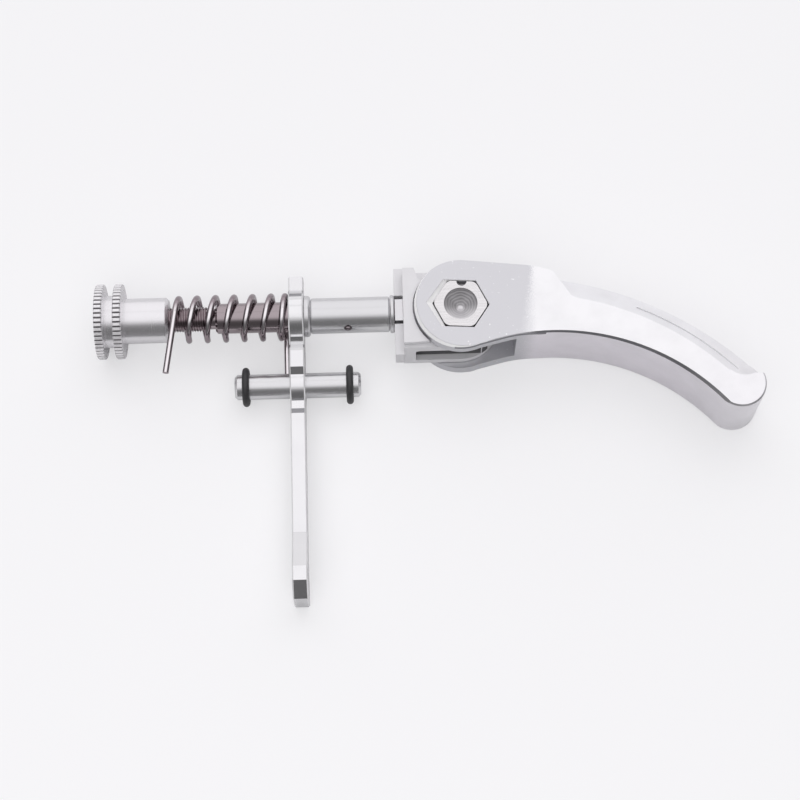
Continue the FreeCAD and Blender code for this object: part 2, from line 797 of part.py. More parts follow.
def make_cam_follower():
    """Block that rides on the eccentric journal and holds the bolt's end."""
    body = new_body("cam_follower")
    start, step, end = dim("follower_start"), dim("follower_step"), dim("follower_end")
    neck, wide = dim("follower_neck") / 2, dim("follower_wide") / 2
    corner = 2.4
    outline = new_sketch(body, "XY_Plane", "follower_outline")
    draw_outline(outline, [
        (start, -neck),
        (step, -neck),
        (step, -wide),
        (end - corner, -wide, corner, 1, False),
        (end, -wide + corner),
        (end, wide - corner, corner, 1, False),
        (end - corner, wide),
        (step, wide),
        (step, neck),
        (start, neck),
    ])
    extrude(body, "Pad", outline, "follower_pad", dim("follower_tall"))
    bore = new_sketch(body, "XY_Plane", "journal_bore_outline")
    draw_circle(bore, journal_x, journal_y, dim("journal") + journal_slack * 2)
    extrude(body, "Pocket", bore, "journal_bore", dim("follower_tall") + 1)
    bolt_hole = new_sketch(body, "YZ_Plane", "follower_hole_outline", start)
    draw_circle(bolt_hole, 0, 0, dim("square_neck") + 0.02)
    extrude(body, "Pocket", bolt_hole, "follower_hole", (journal_x - start) * 2)
    return body


def make_ring(label, left, right, wide, bore, left_chamfer, right_chamfer):
    """A turned ring on the bolt, with its outer corners broken."""
    outer, inner = as_size(wide) / 2, as_size(bore) / 2
    left_chamfer, right_chamfer = as_size(left_chamfer), as_size(right_chamfer)
    return turned(label, [
        (left, inner),
        (right, inner),
        (right, outer - right_chamfer),
        (right - right_chamfer, outer),
        (left + left_chamfer, outer),
        (left, outer - left_chamfer),
    ])


def make_bushing_sleeve():
    """Sleeve that passes through the frame's ear, with a small oil hole."""
    chamfer = dim("sleeve_chamfer")
    body = make_ring(
        "bushing_sleeve", sleeve_left, sleeve_right, dim("sleeve_wide"), bolt_bore, chamfer, chamfer
    )
    hole = new_sketch(body, "XZ_Plane", "oil_hole_outline")
    draw_circle(hole, dim("oil_hole_x"), 0, dim("oil_hole"))
    lift = float(sheet.get("oil_hole_lift"))
    hole.AttachmentOffset = FreeCAD.Placement(Vector(), Rotation(Vector(1, 0, 0), -lift))
    extrude(body, "Pocket", hole, "oil_hole", dim("sleeve_wide"), "One side", True)
    return body


def make_latch_plate():
    """Flat latch on the bolt: back tab, eye, pin boss, arm and hooked end."""
    body = new_body("latch_plate")
    eye, boss = dim("latch_eye"), dim("latch_boss")
    pin = (dim("pin_y"), dim("pin_z"))
    low = dim("latch_low")
    outline = new_sketch(body, "YZ_Plane", "latch_outline", latch_left)
    draw_outline(outline, [
        (dim("tab_end"), dim("tab_bottom")),
        (dim("tab_end"), dim("tab_top")),
        (*polar((0, 0), eye, 20.0), eye, 1, False),
        polar((0, 0), eye, 158.0),
        (dim("valley_y"), dim("valley_z")),
        (dim("bump_start") + 0.8, dim("bump_top") - 0.3),
        (dim("bump_start"), dim("bump_top")),
        (dim("bump_end"), dim("bump_top")),
        (*polar(pin, boss, 78.0), boss, 1, False),
        polar(pin, boss, 150.0),
        (dim("arm_start") + 1.2, dim("arm_top") - 0.7),
        (dim("arm_start"), dim("arm_top")),
        (dim("hook_start"), dim("hook_start_z")),
        (dim("hook_crest_start"), dim("hook_crest")),
        (dim("hook_crest_end"), dim("hook_crest")),
        (dim("hook_nose"), dim("hook_nose_z")),
        (dim("hook_nose"), low),
        (dim("hook_heel"), low),
        (dim("hook_throat"), dim("arm_bottom")),
        (dim("arm_start"), dim("arm_bottom")),
        (*polar(pin, boss, 216.0), boss, 1, False),
        polar(pin, boss, 312.0),
        (*polar((0, 0), eye, 236.0), eye, 1, False),
        polar((0, 0), eye, 339.0),
    ])
    pad = extrude(body, "Pad", outline, "latch_pad", dim("latch_thick"), "One side")
    flat_faces = [
        f"Face{index}" for index, face in enumerate(pad.Shape.Faces, start=1)
        if abs(abs(face.normalAt(0, 0).x) - 1) < 1e-6
    ]
    break_edges(body, pad, "latch_edges", flat_faces, dim("latch_edge"))
    holes = new_sketch(body, "YZ_Plane", "latch_hole_outline", latch_middle)
    draw_circle(holes, 0, 0, bolt_bore)
    draw_circle(holes, *pin, dim("pin") + 0.04)
    extrude(body, "Pocket", holes, "latch_holes", dim("latch_thick") * 2)
    return body


def make_latch_pin():
    """Cross pin pressed through the latch's boss."""
    half, radius, chamfer = dim("pin_length") / 2, dim("pin") / 2, dim("pin_chamfer")
    body = turned("latch_pin", [
        (latch_middle - half, 0),
        (latch_middle + half, 0),
        (latch_middle + half, radius - chamfer),
        (latch_middle + half - chamfer, radius),
        (latch_middle - half + chamfer, radius),
        (latch_middle - half, radius - chamfer),
    ])
    place(body, 0, dim("pin_y"), dim("pin_z"))
    return body


def make_rubber_ring(label, side):
    """Rubber ring stretched over one end of the cross pin."""
    ring = doc.addObject("Part::Torus", label)
    ring.Label = label
    section = dim("ring_section") / 2
    bind(ring, "Radius1", dim("pin") / 2 + 0.02 + section)
    bind(ring, "Radius2", section)
    ring.Placement = FreeCAD.Placement(Vector(), Rotation(Vector(0, 1, 0), 90))
    place(ring, latch_middle + dim("ring_offset") * side, dim("pin_y"), dim("pin_z"))
    doc.recompute()
    return ring


def spring_bend(start, centre, heading, section, angle):
    """The skin of one bend of the wire, with the point and the heading where it ends."""
    axis = (start - centre).cross(heading).normalize()
    circle = Part.Wire(Part.makeCircle(section, start, heading))
    turn = Rotation(axis, angle)
    end = centre + turn.multVec(start - centre)
    return circle.revolve(centre, axis, angle), end, turn.multVec(heading)


def make_return_spring():
    """Left-hand torsion spring: a free leg at the nut's end, a leg under the cross pin at the latch."""
    wire = float(sheet.get("wire")) / 2
    radius = float(sheet.get("coil_wide")) / 2 - wire
    turns = int(float(sheet.get("coil_turns")))
    lead = float(sheet.get("free_leg_lead"))
    close = float(sheet.get("coil_pitch")) / 4
    free_leg, hook_leg = float(sheet.get("free_leg")), float(sheet.get("hook_leg"))
    left, right = coil_left.value, coil_right.value
    half_turns = 2 * turns - 1
    advance = (right - close - left - lead / 2) / half_turns

    # The free leg runs onto the top of the coil
    centre = Vector(left, 0, 0)
    heading = Vector(lead / 2, radius, 0).normalize()
    top = Vector(left, 0, math.hypot(radius, lead / 2))
    start = top - heading * free_leg
    first_cap = Part.Wire(Part.makeCircle(wire, start, heading))
    skins = [first_cap.extrude(heading * free_leg)]
    skin, point, heading = spring_bend(top, centre, heading, wire, 90)
    skins.append(skin)

    # Half turns that lean in turn, each ending square to the coil's axis
    for step in [advance] * half_turns + [close]:
        centre = Vector(point.x + step / 2, 0, 0)
        skin, point, heading = spring_bend(point, centre, heading, wire, 180)
        skins.append(skin)

    # The flat last bend and the leg that slopes down under the pin
    bend = 90 - float(sheet.get("hook_leg_slope"))
    skin, point, heading = spring_bend(point, Vector(point.x, 0, 0), heading, wire, bend)
    skins.append(skin)
    last_cap = Part.Wire(Part.makeCircle(wire, point, heading))
    skins.append(last_cap.extrude(heading * hook_leg))
    far_cap = Part.Wire(Part.makeCircle(wire, point + heading * hook_leg, heading))

    faces = [face for skin in skins for face in skin.Faces]
    shell = Part.Compound(faces + [Part.Face(first_cap), Part.Face(far_cap)])
    shell.sewShape()
    solid = Part.Solid(shell.Shells[0])
    if solid.Volume < 0:
        solid.reverse()
    spring = doc.addObject("Part::Feature", "return_spring")
    spring.Label = "return_spring"
    spring.Shape = solid
    return spring


def make_adjuster_nut():
    """Long nut with two knurled flanges, a waist between them and a sleeve for the frame's ear."""
    bore, sleeve, waist = dim("nut_bore") / 2, dim("nut_sleeve") / 2, dim("groove") / 2
    rim, chamfer = dim("flange") / 2, dim("flange_chamfer")
    inner_right = nut_right - dim("nut_sleeve_length")
    inner_left = inner_right - dim("flange_thick")
    outer_right = inner_left - dim("groove_long")
    outer_left = outer_right - dim("flange_thick")

    def flange_rim(right, left):
        return [(right, rim - chamfer), (right - chamfer, rim), (left + chamfer, rim), (left, rim - chamfer)]

    body = turned("adjuster_nut", [
        (outer_left, bore + 0.3),
        (outer_left + 0.3, bore),
        (nut_right - 0.3, bore),
        (nut_right, bore + 0.3),
        (nut_right, sleeve - dim("nut_chamfer")),
        (nut_right - dim("nut_chamfer"), sleeve),
        (inner_right, sleeve),
        *flange_rim(inner_right, inner_left),
        (inner_left, waist),
        (outer_right, waist),
        *flange_rim(outer_right, outer_left),
    ])
    pitch = 360.0 / float(sheet.get("knurl_teeth"))
    tooth = new_sketch(body, "YZ_Plane", "knurl_outline", outer_left - 0.5)
    draw_outline(tooth, [
        polar((0, 0), rim - dim("knurl_deep"), 90.0),
        polar((0, 0), rim + 0.1, 90.0 + pitch * 0.3),
        polar((0, 0), rim + 0.1, 90.0 - pitch * 0.3),
    ])
    cut = extrude(body, "Pocket", tooth, "knurl_tooth", inner_right - outer_left + 1, "One side", True)
    pattern = body.newObject("PartDesign::PolarPattern", "knurl")
    pattern.Originals = [cut]
    pattern.Axis = (tooth, ["N_Axis"])
    pattern.Angle = 360
    bind(pattern, "Occurrences", dim("knurl_teeth"))
    body.Tip = pattern
    doc.recompute()
    return body


parts = [
    make_cam_housing(),
    make_camshaft(),
    make_retaining_screw(),
    make_lever(),
    make_draw_bolt(),
    make_cam_follower(),
    make_ring("end_washer", end_washer_left, end_washer_right, dim("end_washer_wide"), bolt_bore, 0.2, 0.2),
    make_bushing_sleeve(),
    make_ring(
        "latch_washer", latch_washer_left, latch_washer_right, dim("latch_washer_wide"), bolt_bore,
        0.1, dim("latch_washer_chamfer"),
    ),
    make_latch_plate(),
    make_latch_pin(),
    make_rubber_ring("rubber_ring_left", -1),
    make_rubber_ring("rubber_ring_right", 1),
    make_return_spring(),
    make_adjuster_nut(),
]
doc.recompute()

for item in doc.Objects:
    if "Invalid" in item.State or "Error" in item.State:
        raise RuntimeError(f"{item.Label} could not be built: {item.State}")
os.makedirs("parts", exist_ok=True)
for piece in parts:
    if piece.Shape.isNull() or not piece.Shape.isValid():
        raise RuntimeError(f"{piece.Label} has no valid shape")
    if len(piece.Shape.Solids) != 1:
        raise RuntimeError(f"{piece.Label} is {len(piece.Shape.Solids)} solids, not one")
for piece in parts:
    piece.Shape.exportStep(f"parts/{piece.Label}.step")
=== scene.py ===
import bpy
import math
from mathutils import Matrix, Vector


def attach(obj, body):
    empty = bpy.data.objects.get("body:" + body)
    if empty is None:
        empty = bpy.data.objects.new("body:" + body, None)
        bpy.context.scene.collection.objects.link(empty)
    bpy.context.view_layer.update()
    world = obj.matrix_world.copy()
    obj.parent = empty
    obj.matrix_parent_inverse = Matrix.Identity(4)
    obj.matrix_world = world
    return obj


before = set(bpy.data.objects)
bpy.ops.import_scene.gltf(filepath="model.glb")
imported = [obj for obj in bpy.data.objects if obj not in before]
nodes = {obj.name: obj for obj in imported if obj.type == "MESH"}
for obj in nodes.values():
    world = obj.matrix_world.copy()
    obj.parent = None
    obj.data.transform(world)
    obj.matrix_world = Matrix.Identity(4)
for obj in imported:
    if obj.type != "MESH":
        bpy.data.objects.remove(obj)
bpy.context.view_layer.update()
scene = bpy.context.scene
scene.view_settings.view_transform = "Standard"

# Lever: forged aluminium, bead blasted and clear anodised. Its round head is a flat mid grey
# with specks, and a painted highlight on its broken edges. Past a grainy line the handle is
# paler, with a painted shade on the bevel along its front edge, which goes on below the head as a
# painted shade line, and a painted highlight on the sides of its groove.
head_tone = (0.71, 0.71, 0.735, 1)
speck_tone = (0.92, 0.92, 0.94, 1)
speck_from, speck_to = 0.70, 0.75
edge_highlight_tone = (0.97, 0.97, 0.97, 1)
cam_axis = (0.013, -0.00102, 0)
edge_reach = 0.0095
edge_low, edge_high = 0.0068, 0.00746

bevel_from, facet_from, top_from = 0.60, 0.77, 0.93
handle_facing_shades = (
    (0.0, (0.985, 0.955, 1.0, 1)),
    (bevel_from, (0.34, 0.34, 0.36, 1)),
    (facet_from, (0.95, 0.95, 0.97, 1)),
    (top_from, (0.99, 0.99, 1.0, 1)),
)
tip_tone = (0.97, 0.96, 0.98, 1)
tip_from, tip_to, tip_share = 0.056, 0.067, 0.65
mottle_from, mottle_to, mottle_dark = 0.32, 0.62, 0.94

tone_line, grain_reach = 0.0277, 0.0036
fade_back, fade_front = 0.0007, 0.0032
head_back, head_front = 0.006, -0.007

groove_centre = (0.02384, -0.05597, 0)
groove_reach, groove_half = 0.05849, 0.00032
edge_shade_tone = (0.24, 0.24, 0.26, 1)
edge_shade_facing, edge_shade_facing_half = -0.7, 0.45
edge_shade_middle, edge_shade_length_half = 0.0205, 0.0090
edge_shade_height, edge_shade_half = 0.00675, 0.00045
lever_metal, facet_matt = 0.75, 0.3
lever_rough = (0.28, 0.40)


def new_finish(name):
    """Empty material, with its tree and its shader."""
    finish = bpy.data.materials.new(name)
    finish.use_nodes = True
    return finish, finish.node_tree, finish.node_tree.nodes["Principled BSDF"]


def add_node(tree, kind, inputs, **settings):
    """New shader node. Each input is a value or another node's output."""
    made = tree.nodes.new("ShaderNode" + kind)
    for key, setting in settings.items():
        setattr(made, key, setting)
    for slot, value in inputs.items():
        if isinstance(value, bpy.types.NodeSocket):
            tree.links.new(value, made.inputs[slot])
        else:
            made.inputs[slot].default_value = value
    return made


lever_finish, tree, skin = new_finish("lever_aluminium")
place = add_node(tree, "TexCoord", {}).outputs
apart = add_node(tree, "SeparateXYZ", {0: place["Object"]}).outputs
facing = add_node(tree, "SeparateXYZ", {0: place["Normal"]}).outputs


def compute(tree, operation, *values, clamp=False):
    """Result of one sum or comparison."""
    inputs = dict(enumerate(values))
    return add_node(tree, "Math", inputs, operation=operation, use_clamp=clamp).outputs[0]


def noise(tree, vector, scale, detail=2):
    """Cloudy values between 0 and 1."""
    inputs = {"Vector": vector, "Scale": scale, "Detail": detail}
    return add_node(tree, "TexNoise", inputs).outputs["Fac"]


def remap(tree, value, low, high, to_low=0, to_high=1, shape="LINEAR"):
    """Value carried from one range to another and held at its ends."""
    inputs = {"Value": value, "From Min": low, "From Max": high}
    inputs.update({"To Min": to_low, "To Max": to_high})
    return add_node(tree, "MapRange", inputs, interpolation_type=shape).outputs[0]


upward = compute(tree, "ABSOLUTE", facing["Z"])
cloud = noise(tree, place["Object"], scale=230, detail=6)
mottle = remap(tree, cloud, mottle_from, mottle_to, mottle_dark, 1)


def ramp_colours(tree, value, stops, shape):
    """Colour read off a row of stops."""
    ramp = add_node(tree, "ValToRGB", {"Fac": value})
    ramp.color_ramp.interpolation = shape
    while len(ramp.color_ramp.elements) < len(stops):
        ramp.color_ramp.elements.new(0.5)
    for element, (spot, colour) in zip(ramp.color_ramp.elements, stops):
        element.position = spot
        element.color = colour
    return ramp.outputs["Color"]


def mix_colours(tree, share, first, second, blend="MIX"):
    """Colour between two others, or their product."""
    inputs = {"Factor": share, "A": first, "B": second}
    return add_node(tree, "Mix", inputs, data_type="RGBA", blend_type=blend).outputs["Result"]


# Tones by which way each face looks: the dark bevel stop is a painted shade, a painted reflection
# of the dim room.
handle_shaded_tone = ramp_colours(tree, upward, handle_facing_shades, "CONSTANT")
# Toward the tip these tones fade to a pale one, which mostly lightens the painted bevel shade.
near_tip = remap(tree, apart["X"], tip_from, tip_to, 0, tip_share)
paler = mix_colours(tree, near_tip, handle_shaded_tone, tip_tone)
satin = mix_colours(tree, 1, paler, mottle, "MULTIPLY")
pits = noise(tree, place["Object"], scale=1500)
speck = remap(tree, pits, speck_from, speck_to)
head = mix_colours(tree, speck, head_tone, speck_tone)

speckle = noise(tree, place["Object"], scale=6500)
jitter = compute(tree, "MULTIPLY_ADD", speckle, grain_reach, apart["X"])
line_end = tone_line + grain_reach / 2
fade_start = remap(
    tree, apart["Y"], head_front, head_back, line_end - fade_front, line_end - fade_back
)
past_line = remap(tree, jitter, fade_start, line_end)
tone = mix_colours(tree, past_line, head, satin)


def distance(tree, point, centre):
    """How far a point lies from a centre."""
    inputs = {0: point, 1: centre}
    return add_node(tree, "VectorMath", inputs, operation="DISTANCE").outputs["Value"]


def all_hold(tree, *tests):
    """Mask that is 1 where every comparison holds."""
    mask = compute(tree, *tests[0])
    for test in tests[1:]:
        mask = compute(tree, "MULTIPLY", mask, compute(tree, *test))
    return mask


level = add_node(tree, "CombineXYZ", {"X": apart["X"], "Y": apart["Y"]}).outputs[0]
# Painted highlight on the broken edges of the head's rim and of the hexagon's hole.
edge_glint_mask = all_hold(
    tree,
    ("LESS_THAN", distance(tree, level, cam_axis), edge_reach),
    ("LESS_THAN", apart["Z"], edge_high),
    ("GREATER_THAN", apart["Z"], edge_low),
)
# Painted highlight on the walls of the groove.
groove_glint_mask = all_hold(
    tree,
    ("COMPARE", distance(tree, level, groove_centre), groove_reach, groove_half),
    ("LESS_THAN", upward, bevel_from),
)
painted_highlights = compute(tree, "MAXIMUM", edge_glint_mask, groove_glint_mask)
edged = mix_colours(tree, painted_highlights, tone, edge_highlight_tone)
# Painted shade: a dark line along the top of the head's front wall, in place of its rounded
# edge's dark reflection.
edge_shade_line = all_hold(
    tree,
    ("LESS_THAN", upward, bevel_from),
    ("COMPARE", facing["Y"], edge_shade_facing, edge_shade_facing_half),
    ("COMPARE", apart["X"], edge_shade_middle, edge_shade_length_half),
    ("COMPARE", apart["Z"], edge_shade_height, edge_shade_half),
)
tree.links.new(mix_colours(tree, edge_shade_line, edged, edge_shade_tone), skin.inputs["Base Color"])

facet_middle, facet_half = (top_from + facet_from) / 2, (top_from - facet_from) / 2
facet = compute(tree, "COMPARE", upward, facet_middle, facet_half)
matt = compute(tree, "MULTIPLY_ADD", facet, facet_matt, painted_highlights)
metal = compute(tree, "SUBTRACT", lever_metal, matt, clamp=True)
tree.links.new(metal, skin.inputs["Metallic"])
tree.links.new(remap(tree, cloud, 0, 1, *lever_rough), skin.inputs["Roughness"])


def add_bump(tree, skin, height, strength, depth):
    """Fine relief on a finish."""
    inputs = {"Height": height, "Strength": strength, "Distance": depth}
    tree.links.new(add_node(tree, "Bump", inputs).outputs["Normal"], skin.inputs["Normal"])


def dress(finish, *names):
    """Put a finish on the named CAD nodes."""
    for name in names:
        nodes[name].data.materials.clear()
        nodes[name].data.materials.append(finish)


grain = noise(tree, place["Object"], scale=7000)
add_bump(tree, skin, grain, strength=0.12, depth=0.00004)
dress(lever_finish, "lever")


# Cam housing: machined aluminium, clear anodised and blasted, with little shine. Its chamber is
# painted dark inside, a painted shade in the recess.
def machined_aluminium(name, light, dark, rough):
    """Aluminium with a fine grain, and the clouds of tone for its colour."""
    finish, tree, skin = new_finish(name)
    place = add_node(tree, "TexCoord", {}).outputs
    cloud = noise(tree, place["Object"], scale=260, detail=4)
    bare = mix_colours(tree, cloud, dark, light)
    tree.links.new(remap(tree, cloud, 0, 1, *rough), skin.inputs["Roughness"])
    grain = noise(tree, place["Object"], scale=6000)
    add_bump(tree, skin, grain, strength=0.10, depth=0.00004)
    return finish, tree, skin, place, bare


housing_light, housing_dark = (0.79, 0.785, 0.80, 1), (0.73, 0.725, 0.74, 1)
chamber_shade_tone = (0.20, 0.20, 0.205, 1)
chamber_middle = (0.0112, -0.00036, 0)
chamber_half = (0.0072, 0.00736, 0.00295)
housing_metal = 0.25
housing_finish, tree, skin, place, bare = machined_aluminium(
    "housing_aluminium", housing_light, housing_dark, rough=(0.36, 0.48)
)
apart = add_node(tree, "SeparateXYZ", {0: place["Object"]}).outputs
spans = zip("XYZ", chamber_middle, chamber_half)
within = all_hold(tree, *(("COMPARE", apart[axis], middle, half) for axis, middle, half in spans))
# Painted shade: the chamber inside the housing is painted dark.
tree.links.new(mix_colours(tree, within, bare, chamber_shade_tone), skin.inputs["Base Color"])
skin.inputs["Metallic"].default_value = housing_metal
dress(housing_finish, "cam_housing")

# Latch plate: aluminium cut from plate, tumbled smooth and clear anodised, with matt sides
# and a painted shade on the bends, set by which way each face looks.
latch_light, latch_dark = (0.92, 0.92, 0.925, 1), (0.84, 0.84, 0.85, 1)
side_from, side_to, side_metal = 0.4, 0.55, 0.3
bend_reflection_shades = (
    (0.0, (1, 1, 1, 1)),
    (0.30, (0.88, 0.88, 0.88, 1)),
    (0.45, (0.40, 0.40, 0.41, 1)),
    (0.60, (1, 1, 1, 1)),
)
latch_finish, tree, skin, place, bare = machined_aluminium(
    "latch_aluminium", latch_light, latch_dark, rough=(0.12, 0.22)
)
facing = add_node(tree, "SeparateXYZ", {0: place["Normal"]}).outputs
# Painted shade: bands of painted reflection on the bend facets, by which way they face.
painted_bend_shade = ramp_colours(tree, facing["Y"], bend_reflection_shades, "CONSTANT")
tree.links.new(mix_colours(tree, 1, bare, painted_bend_shade, "MULTIPLY"), skin.inputs["Base Color"])
sideways = compute(tree, "ABSOLUTE", facing["X"])
tree.links.new(remap(tree, sideways, side_from, side_to, 1, side_metal), skin.inputs["Metallic"])
dress(latch_finish, "latch_plate")


# Sleeve and washers on the bolt: turned steel, polished, with faint turning lines
# round the bolt's axis.
def turned_metal(name, colour, metal, rough):
    """Metal with faint turning lines round the bolt's axis."""
    finish, tree, skin = new_finish(name)
    skin.inputs["Metallic"].default_value = metal
    skin.inputs["Base Color"].default_value = colour
    place = add_node(tree, "TexCoord", {}).outputs
    inputs = {"Vector": place["Object"], "Scale": (1, 0.02, 0.02)}
    stretched = add_node(tree, "Mapping", inputs).outputs[0]
    lines = noise(tree, stretched, scale=5200)
    add_bump(tree, skin, lines, strength=0.08, depth=0.00003)
    tree.links.new(remap(tree, lines, 0, 1, *rough), skin.inputs["Roughness"])
    return finish, tree, skin, place


sleeve_tone = (0.77, 0.77, 0.78, 1)
polished, polished_rough = 0.9, (0.19, 0.28)
sleeve_finish, *_ = turned_metal("sleeve_steel", sleeve_tone, polished, polished_rough)
dress(sleeve_finish, "end_washer", "bushing_sleeve", "latch_washer")

# Cross pin: ground steel, a little brighter than the sleeve. It is pressed through the latch
# plate and stands out on both sides.
pin_tone = (0.79, 0.79, 0.80, 1)
pin_finish, *_ = turned_metal("pin_steel", pin_tone, polished, polished_rough)
dress(pin_finish, "latch_pin")

# Rubber rings on the cross pin: moulded rubber, matte black with a soft sheen, stretched
# over the pin near its ends.
rubber_dark, rubber_dusty = (0.024, 0.024, 0.025, 1), (0.048, 0.047, 0.050, 1)
rubber, tree, skin = new_finish("ring_rubber")
place = add_node(tree, "TexCoord", {}).outputs
dust = noise(tree, place["Object"], scale=1400)
tree.links.new(mix_colours(tree, dust, rubber_dark, rubber_dusty), skin.inputs["Base Color"])
skin.inputs["Roughness"].default_value = 0.48
dress(rubber, "rubber_ring_left", "rubber_ring_right")

# Return spring: drawn wire with a faint warm tint, with a painted highlight on the coils where
# they face the camera and painted shade down their sides.
wire_dark = (0.36, 0.305, 0.325, 1)
wire_bright = (0.95, 0.91, 0.925, 1)
coil_highlight_facing = (0, -0.33, 0.94)
coil_highlight_from, coil_highlight_to = 0.70, 0.94
spring_finish, tree, skin, place = turned_metal("spring_steel", wire_dark, 1, rough=(0.06, 0.12))
# Painted highlight where the wire faces the camera, painted shade where it turns away.
inputs = {0: place["Normal"], 1: coil_highlight_facing}
toward = add_node(tree, "VectorMath", inputs, operation="DOT_PRODUCT").outputs["Value"]
coil_highlight = remap(tree, toward, coil_highlight_from, coil_highlight_to)
tree.links.new(mix_colours(tree, coil_highlight, wire_dark, wire_bright), skin.inputs["Base Color"])
dress(spring_finish, "return_spring")

# Draw bolt: turned, with the same warm tint up to the paler square neck. Its fine thread
# winds round the plain core at the nut's end and stops at the undercut.
bolt_tone, neck_tone = (0.41, 0.355, 0.37, 1), (0.76, 0.755, 0.77, 1)
neck_start = 0.0001
thread_pitch, ridge_share = 0.0005, 0.53
thread_root, thread_crest = 0.00222, 0.00249
thread_start, thread_end = -0.0568, -0.0371
ridge = thread_pitch * ridge_share
turn_steps, smooth_angle = 40, math.radians(40)
bolt_finish, tree, skin, place = turned_metal("bolt_titanium", bolt_tone, 1, rough=(0.10, 0.18))
apart = add_node(tree, "SeparateXYZ", {0: place["Object"]}).outputs
at_neck = compute(tree, "GREATER_THAN", apart["X"], neck_start)
tree.links.new(mix_colours(tree, at_neck, bolt_tone, neck_tone), skin.inputs["Base Color"])
dress(bolt_finish, "draw_bolt")

bpy.ops.object.select_all(action="DESELECT")
triangle_height = ridge * 3 / 2
flatten = (thread_crest - thread_root) / triangle_height
bpy.ops.mesh.primitive_circle_add(
    vertices=3, radius=ridge, fill_type="NOTHING",
    location=(thread_start + thread_pitch / 2, thread_root + ridge * flatten / 2, 0),
)
bpy.ops.transform.resize(value=(1, flatten, 1))
bpy.ops.object.transform_apply(location=True, rotation=True, scale=True)
thread = bpy.context.object
thread.name = "bolt_thread"
winding = thread.modifiers.new("winding", "SCREW")
winding.axis = "X"
winding.angle = math.tau
winding.screw_offset = thread_pitch
winding.iterations = int((thread_end - thread_start) / thread_pitch)
winding.steps = turn_steps
winding.render_steps = turn_steps
winding.use_normal_calculate = True
bpy.ops.object.modifier_apply(modifier="winding")
bpy.ops.object.mode_set(mode="EDIT")
bpy.ops.mesh.select_all(action="SELECT")
bpy.ops.mesh.fill_holes(sides=0)
bpy.ops.mesh.normals_make_consistent(inside=False)
bpy.ops.object.mode_set(mode="OBJECT")
bpy.ops.object.shade_smooth_by_angle(angle=smooth_angle)
thread.data.materials.append(bolt_finish)
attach(thread, "bolt")

# Adjuster nut: turned aluminium, clear anodised, with faint turning lines. Its knurled
# flanges are duller, and the knurls' valleys carry a painted shade.
nut_tone, valley_shade_tone = (0.88, 0.87, 0.885, 1), (0.26, 0.25, 0.26, 1)
flange_metal = 0.4
waist_reach, end_facing = 0.0060, 0.5
valley_crest, valley_floor = 0.00746, 0.00733
nut_finish, tree, skin, place = turned_metal(
    "nut_aluminium", nut_tone, polished, rough=(0.20, 0.30)
)
apart = add_node(tree, "SeparateXYZ", {0: place["Object"]}).outputs
facing = add_node(tree, "SeparateXYZ", {0: place["Normal"]}).outputs
across = add_node(tree, "CombineXYZ", {"Y": apart["Y"], "Z": apart["Z"]}).outputs[0]
reach = distance(tree, across, (0, 0, 0))
tooth = all_hold(
    tree,
    ("COMPARE", facing["X"], 0, end_facing),
    ("GREATER_THAN", reach, waist_reach),
)
# Painted shade in the knurls' valleys.
valley = remap(tree, reach, valley_crest, valley_floor)
valley_shade = compute(tree, "MULTIPLY", tooth, valley)
tree.links.new(mix_colours(tree, valley_shade, nut_tone, valley_shade_tone), skin.inputs["Base Color"])
flange = compute(tree, "GREATER_THAN", reach, waist_reach)
tree.links.new(remap(tree, flange, 0, 1, polished, flange_metal), skin.inputs["Metallic"])
dress(nut_finish, "adjuster_nut")


